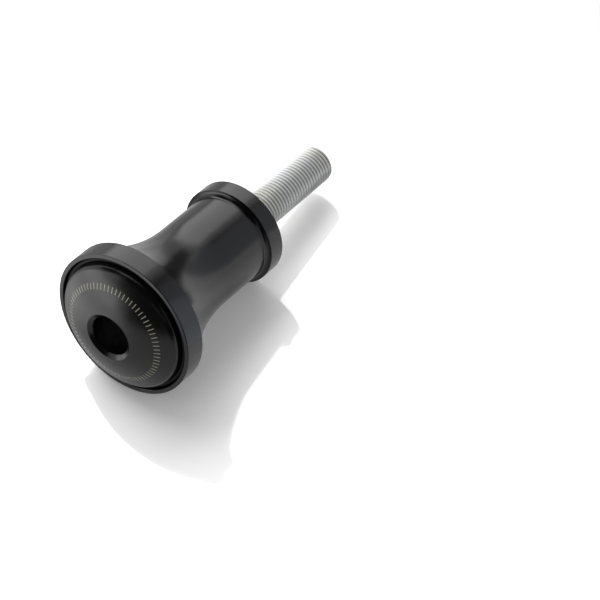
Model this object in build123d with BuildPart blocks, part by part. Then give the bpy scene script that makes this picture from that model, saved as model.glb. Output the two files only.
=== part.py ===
from build123d import *
import math
import os

# A motorcycle frame slider. Its axis lies along Y: the sliding pad faces -Y, away from the motorcycle, and
# the bolt points along +Y, into the frame. The origin is on the axis, in the face that seats on the frame.
# Every piece but the bolt's socket is a turned form, so its outline is drawn with the radius along X and
# the place on the axis along Y, and is then revolved about Y.

# Driving dimensions of the body, in millimetres
body_length = 64.0
ring_diameter = 53.0
ring_width = 7.7
lip_width = 1.6
cup_depth = 6.2
flare_step = 1.2
flare_length = 29.3
spool_diameter = 32.2
collar_step = 1.95
collar_width = 6.4

# Driving dimensions of the pad and of the rubber ring that grips it
dome_radius = 42.0
rim_height = 1.7
rim_gap = 1.75
rim_rounding = 2.4
seal_cord = 2.0
seal_depth = 0.8
key_hole_diameter = 14.5
key_hole_chamfer = 1.4

# Driving dimensions of the bolt and its washer
thread_diameter = 13.9
thread_depth = 0.92
thread_relief_width = 2.5
grip_diameter = 13.8
bolt_reach = 46.6
head_diameter = 21.0
head_height = 14.0
socket_across_flats = 12.0
socket_depth = 7.0
socket_cone_angle = 118.0
washer_diameter = 24.0
washer_hole_diameter = 15.0
washer_thickness = 2.5

# Clearances
bolt_clearance = 0.25
washer_clearance = 0.3
pad_clearance = 0.1
seal_clearance = 0.05
head_play = 0.4
head_seat_gap = 0.03

# Edge breaks and fillets
ring_edge_rounding = 0.2
lip_chamfer = 0.2
edge_break = 0.2
collar_root_rounding = 1.7
bore_chamfer = 0.8
shoulder_chamfer = 0.4
pad_foot_chamfer = 0.6
head_chamfer = 1.0
socket_chamfer = 0.4
washer_chamfer = 0.3

# Places on the axis, from the seat on the frame towards the pad
seat_y = 0.0
collar_front_y = seat_y - collar_width
ring_front_y = seat_y - body_length
ring_rear_y = ring_front_y + ring_width
flare_start_y = ring_rear_y + flare_length
cup_floor_y = ring_front_y + cup_depth
head_top_y = cup_floor_y + head_play
head_seat_y = head_top_y + head_height
washer_front_y = head_seat_y + head_seat_gap
shoulder_y = washer_front_y + washer_thickness
bolt_tip_y = seat_y + bolt_reach
seal_y = ring_front_y + seal_depth + seal_cord / 2

# Radii that follow from those dimensions
ring_radius = ring_diameter / 2
spool_radius = spool_diameter / 2
flare_radius = ring_radius - flare_step
collar_radius = spool_radius + collar_step
cup_radius = ring_radius - lip_width
rim_radius = cup_radius - rim_gap
thread_radius = thread_diameter / 2
thread_root_radius = thread_radius - thread_depth
grip_radius = grip_diameter / 2
bore_radius = thread_radius + bolt_clearance
head_pocket_radius = washer_diameter / 2 + washer_clearance
key_hole_radius = key_hole_diameter / 2
seal_radius = cup_radius - seal_clearance - seal_cord / 2
seal_groove_radius = seal_radius - seal_cord / 2 - seal_clearance
pad_foot_radius = cup_radius - pad_clearance

os.makedirs("parts", exist_ok=True)


def turned_edges(piece, radius, y):
    """The round edges of a turned piece that have this radius at this place on its axis."""
    def fits(edge):
        is_round = edge.geom_type == GeomType.CIRCLE
        return is_round and abs(edge.radius - radius) < 0.01 and abs(edge.center().Y - y) < 0.01

    return piece.edges().filter_by(fits)


def dome_y(radius):
    """The place on the axis of the pad's dome at this radius."""
    rise = math.sqrt(dome_radius**2 - radius**2) - math.sqrt(dome_radius**2 - rim_radius**2)
    return ring_front_y - rim_height - rise


# The body, turned from one bar: the cup ring, the trumpet flare, the spool and the collar
with BuildPart() as body:
    with BuildSketch(Plane.XY) as body_outline:
        with BuildLine():
            Polyline(
                (bore_radius, shoulder_y),
                (bore_radius, seat_y),
                (collar_radius, seat_y),
                (collar_radius, collar_front_y),
                (spool_radius, collar_front_y),
                (spool_radius, flare_start_y),
            )
            flare = TangentArc((spool_radius, flare_start_y), (flare_radius, ring_rear_y), tangent=(0, -1))
            Polyline(
                flare @ 1,
                (ring_radius, ring_rear_y),
                (ring_radius, ring_front_y),
                (cup_radius, ring_front_y),
                (cup_radius, cup_floor_y),
                (head_pocket_radius, cup_floor_y),
                (head_pocket_radius, shoulder_y),
                (bore_radius, shoulder_y),
            )
        make_face()
    revolve(axis=Axis.Y)
    fillet(turned_edges(body, ring_radius, ring_front_y), ring_edge_rounding)
    fillet(turned_edges(body, ring_radius, ring_rear_y), edge_break)
    fillet(turned_edges(body, spool_radius, collar_front_y), collar_root_rounding)
    fillet(turned_edges(body, collar_radius, collar_front_y), edge_break)
    fillet(turned_edges(body, collar_radius, seat_y), edge_break)
    chamfer(turned_edges(body, cup_radius, ring_front_y), lip_chamfer)
    chamfer(turned_edges(body, head_pocket_radius, cup_floor_y), edge_break)
    chamfer(turned_edges(body, bore_radius, shoulder_y), shoulder_chamfer)
    chamfer(turned_edges(body, bore_radius, seat_y), bore_chamfer)

body.part.label = "body"
export_step(body.part, "parts/body.step")

# The pad: a domed puck whose rim stands inside the cup. The groove under the rim holds the rubber ring, and
# the wider foot below the groove centres the pad in the cup.
groove_top_y = seal_y - seal_cord / 2 - seal_clearance
groove_foot_y = seal_y + seal_cord / 2 + seal_clearance
with BuildPart() as pad:
    with BuildSketch(Plane.XY) as pad_outline:
        with BuildLine():
            dome = RadiusArc(
                (rim_radius, dome_y(rim_radius)),
                (key_hole_radius, dome_y(key_hole_radius)),
                dome_radius,
            )
            Polyline(
                dome @ 1,
                (key_hole_radius, cup_floor_y),
                (pad_foot_radius, cup_floor_y),
                (pad_foot_radius, groove_foot_y),
                (seal_groove_radius, groove_foot_y),
                (seal_groove_radius, groove_top_y),
                (rim_radius, groove_top_y),
                dome @ 0,
            )
        make_face()
    revolve(axis=Axis.Y)
    fillet(turned_edges(pad, rim_radius, dome_y(rim_radius)), rim_rounding)
    chamfer(turned_edges(pad, key_hole_radius, dome_y(key_hole_radius)), key_hole_chamfer)
    chamfer(turned_edges(pad, pad_foot_radius, cup_floor_y), pad_foot_chamfer)
    chamfer(turned_edges(pad, key_hole_radius, cup_floor_y), edge_break)

pad.part.label = "pad"
export_step(pad.part, "parts/pad.step")

# The rubber ring between the pad and the wall of the cup
with BuildPart() as pad_ring:
    with BuildSketch(Plane.XY) as cord_section:
        with Locations((seal_radius, seal_y)):
            Circle(seal_cord / 2)
    revolve(axis=Axis.Y)

pad_ring.part.label = "pad_ring"
export_step(pad_ring.part, "parts/pad_ring.step")

# The washer between the head of the bolt and the shoulder of the bore
with BuildPart() as washer:
    with BuildSketch(Plane.XZ.offset(-shoulder_y)):
        Circle(washer_diameter / 2)
        Circle(washer_hole_diameter / 2, mode=Mode.SUBTRACT)
    extrude(amount=washer_thickness)
    chamfer(turned_edges(washer, washer_diameter / 2, washer_front_y), washer_chamfer)

washer.part.label = "washer"
export_step(washer.part, "parts/washer.step")

# The bolt: a cylinder head with a hexagon socket under the pad, a plain grip in the body's bore, a relief
# groove where the thread starts at the seat, and the threaded end as a cylinder at the thread's crests
cone_height = socket_across_flats / 2 / math.tan(math.radians(socket_cone_angle / 2))
socket_floor_y = head_top_y + socket_depth
socket_corner_radius = socket_across_flats / math.sqrt(3)
with BuildPart() as bolt:
    with BuildSketch(Plane.XY) as bolt_outline:
        with BuildLine():
            Polyline(
                (0, head_top_y),
                (head_diameter / 2, head_top_y),
                (head_diameter / 2, head_seat_y),
                (grip_radius, head_seat_y),
                (grip_radius, seat_y - thread_relief_width),
                (thread_root_radius, seat_y - thread_relief_width),
                (thread_root_radius, seat_y),
                (thread_radius, seat_y),
                (thread_radius, bolt_tip_y),
                (0, bolt_tip_y),
                (0, head_top_y),
            )
        make_face()
    revolve(axis=Axis.Y)
    chamfer(turned_edges(bolt, head_diameter / 2, head_top_y), head_chamfer)
    chamfer(turned_edges(bolt, thread_radius, bolt_tip_y), thread_depth)
    with BuildSketch(Plane.XZ.offset(-head_top_y)):
        RegularPolygon(socket_across_flats / 2, 6, major_radius=False)
    extrude(amount=-socket_depth, mode=Mode.SUBTRACT)
    with BuildSketch(Plane.XY) as socket_ends:
        with BuildLine():
            Polyline(
                (0, socket_floor_y),
                (socket_across_flats / 2, socket_floor_y),
                (0, socket_floor_y + cone_height),
                (0, socket_floor_y),
            )
        make_face()
        with BuildLine():
            Polyline(
                (0, head_top_y),
                (socket_corner_radius + socket_chamfer, head_top_y),
                (socket_across_flats / 2, head_top_y + socket_chamfer),
                (0, head_top_y + socket_chamfer),
                (0, head_top_y),
            )
        make_face()
    revolve(axis=Axis.Y, mode=Mode.SUBTRACT)

bolt.part.label = "bolt"
export_step(bolt.part, "parts/bolt.step")

print("whole length", round(bolt_tip_y - dome_y(key_hole_radius), 2))
print("bolt length under the head", round(bolt_tip_y - head_seat_y, 2))
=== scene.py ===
# %% [markdown]
# # A motorcycle frame slider in Blender
# The slider is bolted to the side of a motorcycle's frame and takes the scrape when the motorcycle falls over.
# A trumpet-shaped body of black anodised aluminium carries a domed pad of black acetal in its cup, and a zinc
# plated bolt runs through both. The solids come in as a fixed frame. This lesson gives them their finishes,
# cuts the real thread into the bolt and sets up the studio. Lengths are in metres.

# %% Load the frame
import bpy
import math
from mathutils import Matrix, Vector


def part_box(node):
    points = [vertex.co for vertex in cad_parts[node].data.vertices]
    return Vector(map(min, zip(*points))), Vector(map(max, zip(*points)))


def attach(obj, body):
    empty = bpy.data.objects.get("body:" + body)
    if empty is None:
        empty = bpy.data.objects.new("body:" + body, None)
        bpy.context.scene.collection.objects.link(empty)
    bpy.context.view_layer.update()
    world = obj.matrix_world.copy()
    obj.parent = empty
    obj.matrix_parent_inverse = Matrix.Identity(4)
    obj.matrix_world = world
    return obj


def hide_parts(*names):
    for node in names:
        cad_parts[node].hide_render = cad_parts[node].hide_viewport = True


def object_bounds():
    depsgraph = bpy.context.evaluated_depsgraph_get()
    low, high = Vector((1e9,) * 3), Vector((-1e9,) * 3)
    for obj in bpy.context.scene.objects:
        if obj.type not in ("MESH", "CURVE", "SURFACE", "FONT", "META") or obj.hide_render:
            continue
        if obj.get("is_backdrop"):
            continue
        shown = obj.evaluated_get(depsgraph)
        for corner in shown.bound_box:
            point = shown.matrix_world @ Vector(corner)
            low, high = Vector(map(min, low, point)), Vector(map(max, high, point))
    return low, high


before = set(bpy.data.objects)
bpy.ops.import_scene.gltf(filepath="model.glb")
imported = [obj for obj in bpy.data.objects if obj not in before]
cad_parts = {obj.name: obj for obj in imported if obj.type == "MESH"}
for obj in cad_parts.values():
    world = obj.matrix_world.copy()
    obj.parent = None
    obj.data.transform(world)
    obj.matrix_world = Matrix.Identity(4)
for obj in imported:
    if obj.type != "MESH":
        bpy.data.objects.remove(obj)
cad_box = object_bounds()
MM = 0.001

# %% [markdown]
# ## The floor the slider lies on
# Laid on a table, the slider rests on two round edges: the back edge of its large ring and the back edge of its
# small collar. A straight line over both gives the floor, which therefore leans against the slider's axis. It
# could be drawn by eye, but worked out from the edges the slider neither sinks in nor hovers.

# %% Floor under the two edges that touch it
edge_rounding = 0.2 * MM
ring_edge = Vector((0.0, -56.5 * MM, -26.3 * MM))
collar_edge = Vector((0.0, -0.2 * MM, -17.85 * MM))
rest_line = collar_edge - ring_edge
floor_tilt = math.atan2(rest_line.z, rest_line.y)
floor_up = Vector((0.0, -math.sin(floor_tilt), math.cos(floor_tilt)))
floor_point = ring_edge - floor_up * edge_rounding


def on_floor(point):
    """The place on the floor straight below a point of the slider."""
    return point - floor_up * (point - floor_point).dot(floor_up)


print("floor leans", round(math.degrees(floor_tilt), 2), "degrees")

# %% [markdown]
# ## The camera
# A long lens from well above shows the pad three-quarters on and keeps the far end of the bolt almost as large
# as the near ring. The camera is level with the floor, not with the slider's axis, so its right-hand side is
# made square to the floor's upright. A camera held by hand is never quite level, so it is then rolled a little.

# %% Camera
scene = bpy.context.scene
camera_place = Vector((0.3393, -0.5289, 0.5369))
camera_target = Vector((0.04235, -0.0257, 0.00967))
camera_back = (camera_place - camera_target).normalized()
camera_right = floor_up.cross(camera_back).normalized()
camera_up = camera_back.cross(camera_right)
camera_roll = math.radians(0.17)
camera_data = bpy.data.cameras.new("long_lens")
camera_data.sensor_width = 36.0
camera_data.lens = 145.55
camera = bpy.data.objects.new("camera", camera_data)
scene.collection.objects.link(camera)
turn = Matrix((camera_right, camera_up, camera_back)).transposed() @ Matrix.Rotation(camera_roll, 3, "Z")
camera.matrix_world = Matrix.Translation(camera_place) @ turn.to_4x4()
scene.camera = camera
scene.view_settings.view_transform = "Standard"
print("camera is", round((camera_place - camera_target).length, 3), "m away")

# %% [markdown]
# ## Studio directions
# Gloss is drawn by what it mirrors, so lamps and cards are placed by direction. Azimuth 0 is straight away from
# the camera, 90 is to its right, and elevation is above the floor.

# %% A helper for directions
studio_centre = Vector((0.0, -12.0 * MM, 0.0))
away = floor_up.cross(camera_right)


def studio_direction(azimuth, elevation):
    """A unit vector from the slider towards a place in the studio, with both angles in degrees."""
    a = math.radians(azimuth)
    e = math.radians(elevation)
    level = away * math.cos(a) + camera_right * math.sin(a)
    return level * math.cos(e) + floor_up * math.sin(e)


def facing(direction, roll=0.0):
    """A turn that points an object's -Z against the direction, level with the floor and then rolled."""
    side = floor_up.cross(direction).normalized()
    level = Matrix((side, direction.cross(side), direction)).transposed()
    return (level @ Matrix.Rotation(math.radians(roll), 3, "Z")).to_4x4()


print("away from the camera is", [round(v, 2) for v in away])

# %% [markdown]
# ## Lamps
# Three soft boxes light the studio: one leans over the back, one is low at the left, and one lights the table
# from the left and gives the soft shadow. Gloss doesn't see them. What the black gloss mirrors is the cards
# further down, which can be shaded and cut to size without changing the light.

# %% Soft boxes
back_place = {"azimuth": -8, "elevation": 37, "distance": 0.9, "width": 1.08, "height": 0.72, "roll": -45}


def soft_box(name, azimuth, elevation, distance, width, height, radiance, roll=0.0):
    """A rectangular lamp whose face is as bright as radiance says, whatever its size."""
    data = bpy.data.lights.new(name, "AREA")
    data.shape = "RECTANGLE"
    data.size = width
    data.size_y = height
    data.energy = radiance * math.pi * width * height
    lamp = bpy.data.objects.new(name, data)
    scene.collection.objects.link(lamp)
    direction = studio_direction(azimuth, elevation)
    lamp.matrix_world = Matrix.Translation(studio_centre + direction * distance) @ facing(direction, roll)
    lamp.visible_glossy = False
    return lamp


lamps = [
    soft_box("back_box", **back_place, radiance=2.0),
    soft_box("left_box", azimuth=-100, elevation=6, distance=0.5, width=0.4, height=0.12, radiance=2.6),
    soft_box("table_lamp", azimuth=-43, elevation=50, distance=0.9, width=0.7, height=0.7, radiance=4.1),
]
print("lamps", [(lamp.name, round(lamp.data.energy, 2)) for lamp in lamps])

# %% [markdown]
# ## Node helpers
# Every material below is a small graph of nodes. A few short functions keep the graphs readable: one adds a node
# and sets its values, two join sockets or set plain values, and the rest add the nodes that are used most.

# %% Adding and joining nodes


def node(tree, kind, settings=None, **values):
    """Adds a node; settings are its own properties, and values are the numbers on its input sockets."""
    made = tree.nodes.new(kind)
    for key, value in (settings or {}).items():
        setattr(made, key, value)
    for key, value in values.items():
        made.inputs[key.replace("_", " ")].default_value = value
    return made


def join(tree, source, target):
    """Links an output socket to an input socket."""
    tree.links.new(source, target)


def feed(tree, value, target):
    """Joins a socket to the target, or sets the target where the value is a plain number or colour."""
    if isinstance(value, bpy.types.NodeSocket):
        join(tree, value, target)
    else:
        target.default_value = value


def clear_material(name):
    """A new material with an empty graph of nodes, and that graph."""
    material = bpy.data.materials.new(name)
    material.use_nodes = True
    material.node_tree.nodes.clear()
    return material, material.node_tree


def grey(value):
    """A grey of this brightness, as a colour socket takes it."""
    return (value, value, value, 1)


print("white is", grey(1.0))

# %% Nodes that are used most


def maths(tree, operation, first, second=0.0):
    """One sum on two values, each of them a socket or a plain number."""
    made = node(tree, "ShaderNodeMath", {"operation": operation})
    feed(tree, first, made.inputs[0])
    feed(tree, second, made.inputs[1])
    return made.outputs[0]


def vector_length(tree, vector):
    """How far the vector's place is from the origin."""
    made = node(tree, "ShaderNodeVectorMath", {"operation": "LENGTH"})
    join(tree, vector, made.inputs[0])
    return made.outputs["Value"]


def ranged(tree, source, from_low, from_high, low=0.0, high=1.0):
    """The source's range from from_low to from_high, stretched to run from low to high."""
    made = node(tree, "ShaderNodeMapRange", From_Min=from_low, From_Max=from_high, To_Min=low, To_Max=high)
    join(tree, source, made.inputs["Value"])
    return made.outputs["Result"]


def blended(tree, factor, first, second):
    """The first colour where the factor is 0 and the second one where it is 1."""
    made = node(tree, "ShaderNodeMix", {"data_type": "RGBA"})
    feed(tree, factor, made.inputs["Factor"])
    feed(tree, first, made.inputs["A"])
    feed(tree, second, made.inputs["B"])
    return made.outputs["Result"]


def ramp(tree, source, stops):
    """A colour ramp over the source, from pairs of position and colour."""
    made = node(tree, "ShaderNodeValToRGB")
    elements = made.color_ramp.elements
    elements.remove(elements[1])
    elements[0].position, elements[0].color = stops[0]
    for position, colour in stops[1:]:
        elements.new(position).color = colour
    join(tree, source, made.inputs["Fac"])
    return made.outputs["Color"]


def mixed(tree, mask, low, high):
    """The low shader where the mask is 0 and the high one where it is 1; the mask may be a plain number."""
    made = node(tree, "ShaderNodeMixShader")
    feed(tree, mask, made.inputs["Fac"])
    join(tree, low, made.inputs[1])
    join(tree, high, made.inputs[2])
    return made.outputs[0]


def seen_masks(tree):
    """Two masks: 1 for what the camera sees, and 1 for what the camera, gloss and glass see."""
    path = node(tree, "ShaderNodeLightPath").outputs
    camera_or_gloss = maths(tree, "MAXIMUM", path["Is Camera Ray"], path["Is Glossy Ray"])
    return path["Is Camera Ray"], maths(tree, "MAXIMUM", camera_or_gloss, path["Is Transmission Ray"])


# %% [markdown]
# ## The white room
# The background is white because the world and floor show white to the eye, not because the lamps are strong.
# The world lights the slider with a plain grey.

# %% World
world_light = 0.33
world = bpy.data.worlds.new("white_room")
scene.world = world
world.use_nodes = True
tree = world.node_tree
tree.nodes.clear()
plain = node(tree, "ShaderNodeBackground", Color=grey(1.0), Strength=world_light)
white = node(tree, "ShaderNodeBackground", Color=grey(1.0), Strength=1.0)
seen = seen_masks(tree)[1]
out = node(tree, "ShaderNodeOutputWorld")
join(tree, mixed(tree, seen, plain.outputs[0], white.outputs[0]), out.inputs["Surface"])
print("world nodes", len(tree.nodes))

# %% [markdown]
# ## The floor
# The table is a sheet of white acrylic. Close to the slider it is lit, with a little light of its own, so that
# it reads white and still holds the soft shadow, and about a fifth of what the camera sees is its mirror image.
# A thin sheet is never quite flat, so its mirror leans a few degrees. Further out it fades to plain white and
# never shows an edge. From below it is clear, so that it doesn't hide the slider from a low camera.

# %% Floor sheet
floor_size = 3.0
bpy.ops.object.select_all(action="DESELECT")
bpy.ops.mesh.primitive_plane_add(size=floor_size, location=floor_point, rotation=(floor_tilt, 0, 0))
floor = bpy.context.object
floor.name = "floor"
bpy.ops.object.transform_apply(location=True, rotation=True, scale=True)
floor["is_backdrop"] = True
print("floor is", floor_size, "m wide")

# %% The floor's whites
table_white, tree = clear_material("table_white")
floor.data.materials.append(table_white)


def lit_white(tree, lit, own):
    """White that is partly lit and partly bright by itself."""
    matt = node(tree, "ShaderNodeBsdfDiffuse", Color=grey(lit))
    glow = node(tree, "ShaderNodeEmission", Strength=own)
    both = node(tree, "ShaderNodeAddShader")
    join(tree, matt.outputs[0], both.inputs[0])
    join(tree, glow.outputs[0], both.inputs[1])
    return both.outputs[0]


white_to_camera = lit_white(tree, lit=1.32, own=0.16)
white_to_gloss = lit_white(tree, lit=0.68, own=0.22)
bounce = node(tree, "ShaderNodeBsdfDiffuse", Color=grey(0.8)).outputs[0]
clear = node(tree, "ShaderNodeBsdfTransparent").outputs[0]
print("the floor's whites use", len(tree.nodes), "nodes")

# %% The floor's mirror and its fade to plain white
mirror_share = 0.21
mirror_lean = math.radians(7.5)
fade_start = 0.14
fade_end = 0.24
mirror = node(tree, "ShaderNodeBsdfGlossy", Color=grey(0.75), Roughness=0.04)
lean = node(tree, "ShaderNodeCombineXYZ")
for axis, value in zip("XYZ", (floor_up - camera_right * math.tan(mirror_lean)).normalized()):
    lean.inputs[axis].default_value = value
join(tree, lean.outputs[0], mirror.inputs["Normal"])
place = node(tree, "ShaderNodeTexCoord").outputs["Object"]
apart = node(tree, "ShaderNodeVectorMath", {"operation": "DISTANCE"})
join(tree, place, apart.inputs[0])
apart.inputs[1].default_value = floor_point
fade = ranged(tree, apart.outputs["Value"], fade_start, fade_end)
far = node(tree, "ShaderNodeEmission", Strength=1.0).outputs[0]
camera_mask, seen = seen_masks(tree)
by_camera = mixed(tree, mirror_share, white_to_camera, mirror.outputs[0])
near = mixed(tree, camera_mask, white_to_gloss, by_camera)
from_above = mixed(tree, seen, bounce, mixed(tree, fade, near, far))
side = node(tree, "ShaderNodeNewGeometry")
out = node(tree, "ShaderNodeOutputMaterial")
join(tree, mixed(tree, side.outputs["Backfacing"], from_above, clear), out.inputs["Surface"])
print("the floor's mirror leans", round(math.degrees(mirror_lean), 1), "degrees")

# %% [markdown]
# ## Cards for the gloss
# In an all-white room black gloss turns grey. A photographer sets cards round such a product until its gloss
# reads well, and the same is done here: bright faces for the two soft boxes, black cards in front and overhead,
# grey ones at the right and behind, a slim dark one at the back right, and a small bright one close to the ring.
# Two dark strips lie beside the bolt, so that its bright edges stand out from the white. Only gloss sees the
# cards, and only from the slider's side.

# %% Making a card
pad_centre = Vector((0.0, -60.0 * MM, 0.0))
pad_foot = on_floor(pad_centre)
strip_lift = 0.5 * MM


def for_gloss(made):
    """Leaves a piece of the studio visible to gloss alone."""
    made.visible_camera = False
    made.visible_diffuse = False
    made.visible_shadow = False
    made.visible_transmission = False
    made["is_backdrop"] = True
    return made


def card(name, place, turn, width, height, shade):
    """A flat card of an even brightness that is clear from behind."""
    bpy.ops.object.select_all(action="DESELECT")
    bpy.ops.mesh.primitive_plane_add(size=1.0)
    made = bpy.context.object
    made.name = name
    made.matrix_world = Matrix.Translation(place) @ turn @ Matrix.Diagonal((width, height, 1.0, 1.0))
    paint, tree = clear_material(name)
    glow = node(tree, "ShaderNodeEmission", Color=(*shade, 1), Strength=1.0)
    clear = node(tree, "ShaderNodeBsdfTransparent")
    side = node(tree, "ShaderNodeNewGeometry")
    out = node(tree, "ShaderNodeOutputMaterial")
    face = mixed(tree, side.outputs["Backfacing"], clear.outputs[0], glow.outputs[0])
    join(tree, face, out.inputs["Surface"])
    made.data.materials.append(paint)
    return for_gloss(made)


def hung(name, azimuth, elevation, distance, width, height, shade, roll=0.0):
    """A card that hangs in this direction and faces the middle of the slider."""
    direction = studio_direction(azimuth, elevation)
    return card(name, studio_centre + direction * distance, facing(direction, roll), width, height, shade)


def standing(name, azimuth, distance, width, height, shade, shift=0.0):
    """A card that stands on the table at this distance from the pad, shifted along its own width."""
    turn = facing(studio_direction(azimuth, 0))
    foot = pad_foot + studio_direction(azimuth, 0) * distance + turn.col[0].to_3d() * shift
    return card(name, foot + floor_up * height / 2, turn, width, height, shade)


def lying(name, x, y, width, length, shade):
    """A card that lies on the table, at this x and y of the slider, with its length along the bolt."""
    place = on_floor(Vector((x, y, 0.0))) + floor_up * strip_lift
    return card(name, place, Matrix.Rotation(floor_tilt + math.pi, 4, "X"), width, length, shade)


print("the floor under the pad is at", [round(v, 4) for v in pad_foot])

# %% Setting the cards
black = (0.0, 0.0, 0.0)
dark = (0.08, 0.08, 0.08)
middle_grey = (0.5, 0.5, 0.5)
cool_grey = (0.52, 0.53, 0.57)
cool_white = (0.9, 0.95, 1.05)
back_glow = (2.25, 2.25, 2.25)
left_glow = (2.9, 2.9, 2.9)
# The numbers of a hung card are its azimuth, elevation, distance, width and height. A standing card has all of
# them but the elevation. A lying card has its x, y, width and length.
cards = [
    hung("back_face", **back_place, shade=back_glow),
    standing("left_face", -101, 0.4, 0.33, 0.115, left_glow),
    standing("front_card", 180, 0.2, 0.61, 0.12, black, shift=0.085),
    hung("top_card", 180, 62, 0.6, 0.9, 0.9, black),
    hung("right_card", 82, 20, 1.2, 1.6, 1.05, cool_grey),
    standing("far_card", 0, 1.0, 3.0, 0.4, middle_grey, shift=-0.4),
    standing("slim_card", 31, 0.21, 0.06, 0.115, dark),
    hung("left_sky", -70, 43, 1.0, 0.9, 0.6, black),
    hung("corner_card", -138, 30, 0.7, 0.5, 0.5, black),
    hung("right_sky", 105, 45, 1.4, 2.2, 1.6, black),
    standing("ring_card", 97, 0.08, 0.03, 0.08, cool_white),
    lying("left_strip", -0.024, 0.042, 0.024, 0.06, dark),
    lying("right_strip", 0.016, 0.037, 0.015, 0.05, dark),
]
print("cards", [made.name for made in cards])

# %% [markdown]
# The table is mirrored too. Where the soft box at the left shines on it, it is overexposed, in front of the pad
# it is grey, and behind the slider its grey varies a little. A round paper that only gloss sees carries these
# tones, by direction from the pad. It is left out at the right and close to the slider, where the real floor
# with its shadow is mirrored instead, and it is clear from below, so that the floor's own mirror image isn't
# covered.

# %% Paper on the table
paper_radius = 0.5
paper_lift = 0.3 * MM
bpy.ops.object.select_all(action="DESELECT")
bpy.ops.mesh.primitive_circle_add(vertices=64, radius=paper_radius, fill_type="NGON")
paper = bpy.context.object
paper.name = "table_paper"
level = Matrix((camera_right, away, floor_up)).transposed().to_4x4()
paper.matrix_world = Matrix.Translation(pad_foot + floor_up * paper_lift) @ level
paper_shade, tree = clear_material("table_paper")
paper.data.materials.append(paper_shade)
place = node(tree, "ShaderNodeTexCoord").outputs["Object"]
split = node(tree, "ShaderNodeSeparateXYZ")
join(tree, place, split.inputs[0])
angle = maths(tree, "ARCTAN2", split.outputs["X"], split.outputs["Y"])
share = ranged(tree, angle, -math.pi, math.pi)


def by_azimuth(stops):
    """A ramp over the azimuth, from pairs of degrees and grey."""
    return ramp(tree, share, [((degrees + 180) / 360, grey(value)) for degrees, value in stops])


print("the paper is", 2 * paper_radius, "m across")

# %% The paper's tones
brightest = 3.0
near_tone = 0.18
tone_start, tone_end = 0.035, 0.075
cover_start, cover_end = 0.01, 0.018
left_side = [(-180, 0.19), (-150, 0.2), (-140, 0.24), (-122, 0.62), (-75, 0.62), (-55, 0.17)]
behind = [(-8, 0.17), (-3, 0.21), (1, 0.3), (4, 0.24), (8, 0.33), (14, 0.32), (28, 0.17), (180, 0.19)]
around = by_azimuth(left_side + behind)
there = by_azimuth([(-180, 1), (25, 1), (45, 0), (125, 0), (145, 1)])
from_pad = vector_length(tree, place)
outer = ranged(tree, from_pad, tone_start, tone_end)
inner = ranged(tree, from_pad, cover_start, cover_end)
glow = node(tree, "ShaderNodeEmission", Strength=brightest)
join(tree, blended(tree, outer, grey(near_tone), around), glow.inputs["Color"])
clear = node(tree, "ShaderNodeBsdfTransparent").outputs[0]
from_above = mixed(tree, maths(tree, "MULTIPLY", there, inner), clear, glow.outputs[0])
side = node(tree, "ShaderNodeNewGeometry")
out = node(tree, "ShaderNodeOutputMaterial")
join(tree, mixed(tree, side.outputs["Backfacing"], from_above, clear), out.inputs["Surface"])
for_gloss(paper)
print("paper has", len(tree.nodes), "nodes")

# %% [markdown]
# ## Shared effects
# Turned metal and turned plastic both carry rings left by the lathe tool, too fine to count but enough to
# soften the gloss. They could be a texture drawn on paper; here a wave along the axis and across the radius
# makes them at their real spacing. A second effect is the fine, even grain of an anodised, moulded or plated
# skin.

# %% Lathe marks


def new_group(name, inputs, outputs):
    """A node group with these input and output sockets, and its two end nodes."""
    group = bpy.data.node_groups.new(name, "ShaderNodeTree")
    for label, kind, value in inputs:
        socket = group.interface.new_socket(name=label, in_out="INPUT", socket_type=kind)
        if value is not None:
            socket.default_value = value
    for label, kind in outputs:
        group.interface.new_socket(name=label, in_out="OUTPUT", socket_type=kind)
    start = group.nodes.new("NodeGroupInput")
    end = group.nodes.new("NodeGroupOutput")
    return group, start, end


def round_axis(tree, position):
    """The three parts of a place, and its distance from the slider's axis."""
    split = node(tree, "ShaderNodeSeparateXYZ")
    join(tree, position, split.inputs[0])
    flat = node(tree, "ShaderNodeCombineXYZ")
    join(tree, split.outputs["X"], flat.inputs["X"])
    join(tree, split.outputs["Z"], flat.inputs["Z"])
    return split.outputs, vector_length(tree, flat.outputs[0])


lathe_marks, start, end = new_group(
    "lathe_marks",
    [("Position", "NodeSocketVector", None), ("Marks per metre", "NodeSocketFloat", 6000.0)],
    [("Height", "NodeSocketFloat")],
)
part_of, radius = round_axis(lathe_marks, start.outputs["Position"])
along = maths(lathe_marks, "ADD", part_of["Y"], radius)
count = maths(lathe_marks, "MULTIPLY", along, start.outputs["Marks per metre"])
rings = node(lathe_marks, "ShaderNodeTexNoise", {"noise_dimensions": "1D"}, Scale=1.0, Detail=2.0)
join(lathe_marks, count, rings.inputs["W"])
join(lathe_marks, rings.outputs["Fac"], end.inputs["Height"])
print("lathe marks use", len(lathe_marks.nodes), "nodes")

# %% Fine grain
fine_grain, start, end = new_group(
    "fine_grain",
    [
        ("Position", "NodeSocketVector", None),
        ("Grains per metre", "NodeSocketFloat", 4000.0),
        ("Patches per metre", "NodeSocketFloat", 90.0),
    ],
    [("Height", "NodeSocketFloat"), ("Patches", "NodeSocketFloat")],
)
for spacing, detail, result in (("Grains per metre", 1.0, "Height"), ("Patches per metre", 4.0, "Patches")):
    noise = node(fine_grain, "ShaderNodeTexNoise", Detail=detail)
    join(fine_grain, start.outputs["Position"], noise.inputs["Vector"])
    join(fine_grain, start.outputs[spacing], noise.inputs["Scale"])
    join(fine_grain, noise.outputs["Fac"], end.inputs[result])
print("fine grain uses", len(fine_grain.nodes), "nodes")

# %% A start for each material
noise_low, noise_high = 0.3, 0.7


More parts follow.
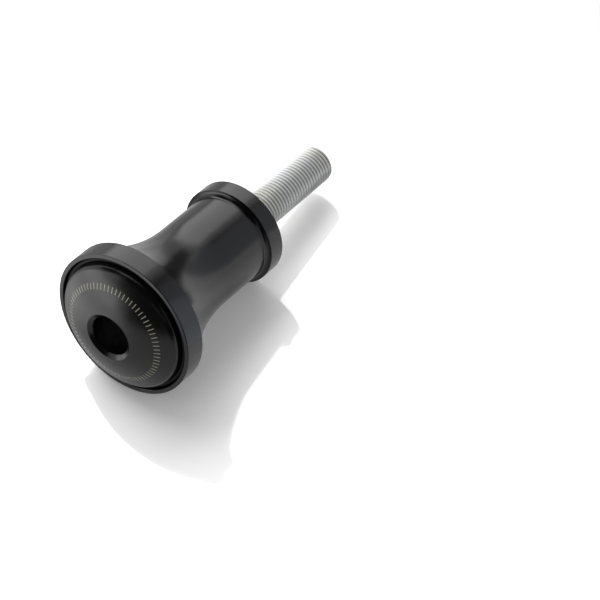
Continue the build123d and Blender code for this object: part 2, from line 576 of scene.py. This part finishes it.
def new_finish(name, base, roughness, **values):
    """A material with a Principled shader, its Object coordinates and its output joined."""
    material, tree = clear_material(name)
    shader = node(tree, "ShaderNodeBsdfPrincipled", Base_Color=base, Roughness=roughness, **values)
    out = node(tree, "ShaderNodeOutputMaterial")
    join(tree, shader.outputs[0], out.inputs["Surface"])
    position = node(tree, "ShaderNodeTexCoord").outputs["Object"]
    return material, tree, shader, position


def use_group(tree, group, position, **values):
    """Places a shared effect on this material's coordinates, with its own values."""
    made = node(tree, "ShaderNodeGroup", {"node_tree": group}, **values)
    join(tree, position, made.inputs["Position"])
    return made


def from_noise(tree, source, low, high):
    """The usual range of a noise, stretched to run from low to high."""
    return ranged(tree, source, noise_low, noise_high, low, high)


def bumps(tree, shader, height, distance, under=None):
    """Raises the surface by the height, on top of the bumps under it."""
    made = node(tree, "ShaderNodeBump", Strength=1.0, Distance=distance)
    join(tree, height, made.inputs["Height"])
    if under is not None:
        join(tree, under, made.inputs["Normal"])
    join(tree, made.outputs["Normal"], shader.inputs["Normal"])
    return made.outputs["Normal"]


def give_finish(piece, material):
    """Makes this the piece's only material."""
    piece.data.materials.clear()
    piece.data.materials.append(material)


print("a noise runs from about", noise_low, "to", noise_high)

# %% [markdown]
# ## Black anodised aluminium
# Anodising grows a hard clear oxide on the turned aluminium and dyes it black. The dye swallows nearly all
# light, so what the eye sees is the gloss of the oxide: satin, with soft-edged reflections.

# %% Body finish
body_black = (0.0035, 0.0035, 0.0037, 1)
anodised, tree, shader, position = new_finish("anodised_black", body_black, 0.2, IOR=1.5)
marks = use_group(tree, lathe_marks, position, Marks_per_metre=7000.0)
grain = use_group(tree, fine_grain, position, Grains_per_metre=5000.0, Patches_per_metre=70.0)
join(tree, from_noise(tree, grain.outputs["Patches"], 0.17, 0.23), shader.inputs["Roughness"])
turned = bumps(tree, shader, marks.outputs["Height"], 0.004 * MM)
bumps(tree, shader, grain.outputs["Height"], 0.004 * MM, under=turned)
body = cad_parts["body"]
give_finish(body, anodised)
print("body has", len(body.data.polygons), "faces")

# %% [markdown]
# ## Black acetal with a printed ring of ticks
# The pad is turned from black acetal, a slippery, slightly waxy plastic. A ring of pale ticks is printed on the
# dome, each a short line that points at the axis. The ticks could be thin pieces of their own, but ink has no
# thickness worth modelling, so a mask in the material paints them.

# %% Tick mask
tick_radius = 17.6 * MM
tick_length = 1.9 * MM
tick_width = 0.36 * MM
tick_count = 72
side_blur = (0.3, 0.6)
end_blur = (0.47, 0.53)


def tick_mask(tree, position):
    """1 inside a ring of short radial lines round the Y axis, 0 elsewhere."""
    part_of, radius = round_axis(tree, position)
    angle = maths(tree, "ARCTAN2", part_of["Z"], part_of["X"])
    from_tick = maths(tree, "PINGPONG", angle, math.pi / tick_count)
    sides = [blur * tick_width / tick_radius for blur in side_blur]
    across = ranged(tree, from_tick, *sides, low=1.0, high=0.0)
    off_ring = maths(tree, "ABSOLUTE", maths(tree, "SUBTRACT", radius, tick_radius))
    ends = [blur * tick_length for blur in end_blur]
    along = ranged(tree, off_ring, *ends, low=1.0, high=0.0)
    return maths(tree, "MULTIPLY", across, along)


print("ticks", tick_count, "every", round(360 / tick_count, 1), "degrees")

# %% Pad finish
pad_black = (0.0035, 0.0035, 0.0035, 1)
tick_ink = (0.3, 0.285, 0.215, 1)
acetal, tree, shader, position = new_finish("acetal_black", pad_black, 0.24, IOR=1.48)
marks = use_group(tree, lathe_marks, position, Marks_per_metre=5000.0)
grain = use_group(tree, fine_grain, position, Grains_per_metre=3500.0, Patches_per_metre=60.0)
printed = blended(tree, tick_mask(tree, position), pad_black, tick_ink)
join(tree, printed, shader.inputs["Base Color"])
join(tree, from_noise(tree, grain.outputs["Patches"], 0.2, 0.28), shader.inputs["Roughness"])
turned = bumps(tree, shader, marks.outputs["Height"], 0.004 * MM)
bumps(tree, shader, grain.outputs["Height"], 0.003 * MM, under=turned)
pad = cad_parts["pad"]
give_finish(pad, acetal)
print("pad", [round(v, 4) for v in pad.dimensions])

# %% [markdown]
# ## The rubber ring
# A round cord of black rubber grips the pad in its cup. Moulded rubber is duller than either neighbour and
# bloomed with a faint grey film.

# %% Rubber finish
rubber_base = (0.004, 0.004, 0.004, 1)
clean_rubber = (0.003, 0.003, 0.003, 1)
grey_bloom = (0.006, 0.006, 0.0062, 1)
rubber, tree, shader, position = new_finish("seal_rubber", rubber_base, 0.6, IOR=1.5, Specular_IOR_Level=0.25)
grain = use_group(tree, fine_grain, position, Grains_per_metre=2500.0, Patches_per_metre=200.0)
film = from_noise(tree, grain.outputs["Patches"], 0.0, 1.0)
join(tree, blended(tree, film, clean_rubber, grey_bloom), shader.inputs["Base Color"])
bumps(tree, shader, grain.outputs["Height"], 0.01 * MM)
pad_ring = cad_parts["pad_ring"]
give_finish(pad_ring, rubber)
print("rubber ring", [round(v, 4) for v in pad_ring.dimensions])

# %% [markdown]
# ## Zinc plating
# The bolt and its washer are steel with a bright zinc plating, sealed by a thin film that tints it faintly
# yellow in some places and blue in others. The bottom of the thread's groove is painted darker, as painted
# shade, so the colour there follows the distance from the axis.

# %% How deep a place lies in the thread
thread_low, thread_high = 0.0 * MM, 46.3 * MM
# Painted shade in the thread: darkest at the inner radius, none from the outer radius outwards.
deepest_shade_radius, unshaded_radius = 6.15 * MM, 6.7 * MM


def crest_mask(tree, position):
    """0 at the bottom of the thread's groove, 1 at its crest and everywhere off the thread."""
    part_of, radius = round_axis(tree, position)
    height = ranged(tree, radius, deepest_shade_radius, unshaded_radius)
    before = maths(tree, "LESS_THAN", part_of["Y"], thread_low)
    after = maths(tree, "GREATER_THAN", part_of["Y"], thread_high)
    return maths(tree, "MAXIMUM", maths(tree, "MAXIMUM", before, after), height)


print("the thread ends at", round(thread_high / MM, 1), "mm")

# %% Zinc finish
zinc_grey = (0.62, 0.63, 0.64, 1)
# The colour of the painted shade at the bottom of the thread's groove.
groove_shade_colour = (0.14, 0.14, 0.13, 1)
blue_film = (0.87, 0.88, 0.9, 1)
yellow_film = (0.9, 0.895, 0.85, 1)
zinc, tree, shader, position = new_finish("zinc_plated", zinc_grey, 0.32, Metallic=0.45)
grain = use_group(tree, fine_grain, position, Grains_per_metre=3000.0, Patches_per_metre=110.0)
film = ramp(tree, grain.outputs["Patches"], [(0.35, blue_film), (0.68, yellow_film)])
# Painted shade darkens the thread's grooves; the crests and the rest keep the film's colour.
groove_shaded = blended(tree, crest_mask(tree, position), groove_shade_colour, film)
join(tree, groove_shaded, shader.inputs["Base Color"])
join(tree, from_noise(tree, grain.outputs["Patches"], 0.28, 0.36), shader.inputs["Roughness"])
bumps(tree, shader, grain.outputs["Height"], 0.004 * MM)
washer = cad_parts["washer"]
give_finish(washer, zinc)
print("washer", [round(v, 4) for v in washer.dimensions])

# %% [markdown]
# ## The bolt and its thread
# A bolt like this is made from a plain blank: head, grip, a relief groove, and a shank with a chamfered tip.
# The thread is then cut or rolled into it. The blank is modelled here face by face from a cylinder, and a long
# helical cutter is taken away from it, so the thread runs out into the relief groove and over the chamfer just
# as a real one does.

# %% Sizes of the blank
bolt_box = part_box("bolt")
head_top = bolt_box[0].y
tip = bolt_box[1].y
head_radius = bolt_box[1].x
head_height = 14.0 * MM
head_chamfer = 1.0 * MM
grip_radius = 6.9 * MM
relief_start = -2.5 * MM
thread_start = 0.0
root_radius = 6.03 * MM
crest_radius = 6.95 * MM
tip_chamfer = 0.92 * MM
bolt_sides = 96
head_seat = head_top + head_height
print("bolt is", round((tip - head_seat) / MM, 2), "mm long under its head")

# %% Tools for modelling


def only(obj):
    """Makes this the one selected and active object."""
    bpy.ops.object.select_all(action="DESELECT")
    obj.select_set(True)
    bpy.context.view_layer.objects.active = obj


def select_faces(obj, chosen):
    """In edit mode, selects just the faces for which chosen(face) holds."""
    bpy.ops.mesh.select_all(action="DESELECT")
    bpy.ops.object.mode_set(mode="OBJECT")
    for face in obj.data.polygons:
        face.select = chosen(face)
    bpy.ops.object.mode_set(mode="EDIT")


def select_verts(obj, chosen):
    """In edit mode, selects just the vertices for which chosen(place) holds."""
    bpy.ops.mesh.select_all(action="DESELECT")
    bpy.ops.object.mode_set(mode="OBJECT")
    for vertex in obj.data.vertices:
        vertex.select = chosen(vertex.co)
    bpy.ops.object.mode_set(mode="EDIT")


def push(distance):
    """Extrudes the selected end face along the bolt."""
    bpy.ops.mesh.extrude_region_move(TRANSFORM_OT_translate={"value": (0, distance, 0)})


def widen(factor):
    """Scales the selected end face about the bolt's axis."""
    bpy.ops.transform.resize(value=(factor, 1, factor), center_override=(0, 0, 0))


def open_edges(obj):
    """How many edges don't have just two faces; a closed piece has none."""
    sides = {}
    for face in obj.data.polygons:
        for key in face.edge_keys:
            sides[key] = sides.get(key, 0) + 1
    return sum(1 for count in sides.values() if count != 2)


# %% Blank from head to tip
bpy.ops.object.select_all(action="DESELECT")
bpy.ops.mesh.primitive_cylinder_add(
    vertices=bolt_sides,
    radius=head_radius,
    depth=head_height - head_chamfer,
    end_fill_type="NGON",
    location=(0, (head_top + head_chamfer + head_seat) / 2, 0),
    rotation=(math.pi / 2, 0, 0),
)
bolt = bpy.context.object
bolt.name = "bolt_threaded"
bpy.ops.object.transform_apply(location=True, rotation=True, scale=True)
bpy.ops.object.mode_set(mode="EDIT")
bpy.ops.mesh.select_mode(type="FACE")
select_faces(bolt, lambda face: face.normal.y < -0.9)
push(-head_chamfer)
widen((head_radius - head_chamfer) / head_radius)
select_faces(bolt, lambda face: face.normal.y > 0.9)
bpy.ops.mesh.inset(thickness=head_radius - grip_radius)
push(relief_start - head_seat)
bpy.ops.mesh.inset(thickness=grip_radius - root_radius)
push(thread_start - relief_start)
push(0.0)
widen(crest_radius / root_radius)
push(tip - tip_chamfer - thread_start)
push(tip_chamfer)
widen((crest_radius - tip_chamfer) / crest_radius)
bpy.ops.mesh.select_all(action="SELECT")
bpy.ops.mesh.remove_doubles(threshold=0.002 * MM)
bpy.ops.mesh.normals_make_consistent(inside=False)
bpy.ops.object.mode_set(mode="OBJECT")
print("blank has", len(bolt.data.polygons), "faces")

# %% [markdown]
# The cutter is one groove's outline wound round the bolt. The outline is a metric one: sides at 60 degrees to
# each other, a narrow flat at the bottom, and a crest an eighth of the pitch wide left between the turns.

# %% Thread cutter
pitch = 1.5 * MM
groove_depth = 0.89 * MM
groove_top = pitch * 7 / 8
groove_bottom = groove_top - 2 * groove_depth * math.tan(math.radians(30))
above_crest = 0.3 * MM
turns = 33
run_in = 1.1 * MM
groove_start = thread_start - run_in
groove_middle = crest_radius - groove_depth / 2

bpy.ops.object.select_all(action="DESELECT")
bpy.ops.mesh.primitive_plane_add(size=1.0)
cutter = bpy.context.object
cutter.name = "thread_cutter"
cutter.scale = (groove_depth, groove_top, 1.0)
cutter.location = (groove_middle, groove_start, 0.0)
bpy.ops.object.transform_apply(location=True, rotation=True, scale=True)
bpy.ops.object.mode_set(mode="EDIT")
bpy.ops.mesh.select_mode(type="VERT")
select_verts(cutter, lambda co: co.x < groove_middle)
bpy.ops.transform.resize(
    value=(1, groove_bottom / groove_top, 1), center_override=(groove_middle, groove_start, 0)
)
select_verts(cutter, lambda co: co.x > groove_middle)
bpy.ops.mesh.extrude_region_move(TRANSFORM_OT_translate={"value": (above_crest, 0, 0)})
bpy.ops.mesh.select_all(action="SELECT")
bpy.ops.mesh.dissolve_faces()
bpy.ops.mesh.select_all(action="SELECT")
bpy.ops.mesh.delete(type="ONLY_FACE")
bpy.ops.object.mode_set(mode="OBJECT")
print("cutter outline has", len(cutter.data.edges), "edges")

# %% Wind the cutter round the bolt
only(cutter)
winding = cutter.modifiers.new("winding", "SCREW")
winding.axis = "Y"
winding.angle = 2 * math.pi
winding.screw_offset = pitch
winding.iterations = turns
winding.steps = bolt_sides
winding.render_steps = bolt_sides
winding.use_merge_vertices = False
bpy.ops.object.modifier_apply(modifier="winding")
bpy.ops.object.mode_set(mode="EDIT")
bpy.ops.mesh.select_all(action="SELECT")
bpy.ops.mesh.fill_holes(sides=0)
bpy.ops.mesh.select_all(action="SELECT")
bpy.ops.mesh.normals_make_consistent(inside=False)
bpy.ops.object.mode_set(mode="OBJECT")
print("cutter has", len(cutter.data.polygons), "faces over", turns, "turns")
print("cutter has", open_edges(cutter), "open edges")

# %% Take the cutter away from the blank


def take_away(obj, tool):
    """Subtracts a closed tool from a closed piece and removes the tool."""
    only(obj)
    cut = obj.modifiers.new("cut", "BOOLEAN")
    cut.operation = "DIFFERENCE"
    cut.solver = "EXACT"
    cut.object = tool
    bpy.ops.object.modifier_apply(modifier="cut")
    bpy.data.objects.remove(tool, do_unlink=True)


take_away(bolt, cutter)
print("threaded bolt has", len(bolt.data.polygons), "faces and", open_edges(bolt), "open edges")

# %% [markdown]
# The socket in the head is broached: a drilled hole with a cone at its bottom, made six-sided by a punch, with
# a small countersink that leads the key in. Three simple tools cut it here: a six-sided prism, the drill's cone
# and the countersink.

# %% Hexagon socket
socket_flats = 12.0 * MM
socket_depth = 7.0 * MM
socket_corner = socket_flats / math.sqrt(3)
socket_floor = head_top + socket_depth
punch_turn = math.radians(30)
drill_radius = socket_flats / 2 - 0.1 * MM
drill_start = socket_floor - 0.05 * MM
drill_half_angle = math.radians(59)
cone_height = socket_flats / 2 / math.tan(drill_half_angle)
spare = 1.0 * MM


def round_tool(sides, near_radius, far_radius, near_y, far_y, turned=0.0):
    """A cone or prism round the bolt's axis, from near_y to far_y."""
    bpy.ops.object.select_all(action="DESELECT")
    bpy.ops.mesh.primitive_cone_add(
        vertices=sides,
        radius1=far_radius,
        radius2=near_radius,
        depth=far_y - near_y,
        location=(0, (near_y + far_y) / 2, 0),
        rotation=(math.pi / 2, turned, 0),
    )
    bpy.ops.object.transform_apply(location=True, rotation=True, scale=True)
    return bpy.context.object


take_away(bolt, round_tool(6, socket_corner, socket_corner, head_top - spare, socket_floor, punch_turn))
take_away(bolt, round_tool(bolt_sides, drill_radius, 0.0, drill_start, socket_floor + cone_height))
print("bolt has", len(bolt.data.polygons), "faces")

# %% Lead-in of the socket, smooth shading and finish
lead_depth = 0.4 * MM
lead_slope = (socket_corner + lead_depth - socket_flats / 2) / lead_depth
mouth_radius = socket_corner + lead_depth + spare * lead_slope
countersink = round_tool(bolt_sides, mouth_radius, socket_flats / 2, head_top - spare, head_top + lead_depth)
take_away(bolt, countersink)
only(bolt)
bpy.ops.object.mode_set(mode="EDIT")
bpy.ops.mesh.select_all(action="SELECT")
bpy.ops.mesh.remove_doubles(threshold=0.001 * MM)
bpy.ops.object.mode_set(mode="OBJECT")
bpy.ops.object.shade_smooth_by_angle(angle=math.radians(30))
give_finish(bolt, zinc)
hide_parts("bolt")
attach(bolt, "main_bolt")
print("bolt has", len(bolt.data.polygons), "faces and reaches", [round(v, 4) for v in bolt.dimensions])

# %% [markdown]
# ## Size
# The dressed slider is meant to stay inside the box of its solids, so both boxes are printed next to each other.

# %% Print both boxes
shown_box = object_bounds()
for label, box in (("cad", cad_box), ("shown", shown_box)):
    print(label, [[round(v, 4) for v in c] for c in box])
